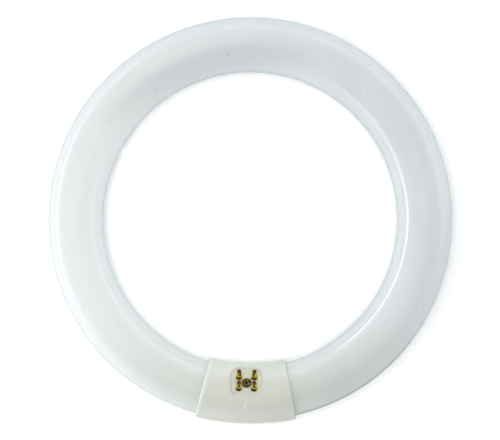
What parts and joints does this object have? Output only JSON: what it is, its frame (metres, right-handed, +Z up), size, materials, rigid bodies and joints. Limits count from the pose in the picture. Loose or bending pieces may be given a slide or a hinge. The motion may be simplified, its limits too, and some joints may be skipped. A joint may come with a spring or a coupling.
{
  "type": "circular fluorescent tube",
  "caption": "Ring-shaped white fluorescent tube whose two sealed ends meet in a moulded base with tilted hollow contact pins.",
  "frame": {"origin": "on the ring's axis, on the surface that the lamp lies on", "axes": "+Z up along the ring's axis, to the side that the pins stand out of; -Y from the ring's centre towards the middle of the base; +X to the right as seen from above with the base nearest"},
  "size_m": [0.212, 0.2131, 0.0359],
  "materials": {
    "coated_glass": "glossy clear glass with an even white coating inside",
    "base_plastic": "satin warm white moulding",
    "pin_brass": "dull olive-gold brass",
    "screw_metal": "dark bronze",
    "lead_metal": "drawn bare wire"
  },
  "bodies": {
    "root": {"glass_tube": "coated_glass", "base_front": "base_plastic", "base_rear": "base_plastic", "base_screw": "screw_metal", "contact_pin_inner_left": "pin_brass", "lead_wire_inner_left": "lead_metal", "contact_pin_inner_right": "pin_brass", "lead_wire_inner_right": "lead_metal", "contact_pin_outer_left": "pin_brass", "lead_wire_outer_left": "lead_metal", "contact_pin_outer_right": "pin_brass", "lead_wire_outer_right": "lead_metal"}
  },
  "joints": []
}
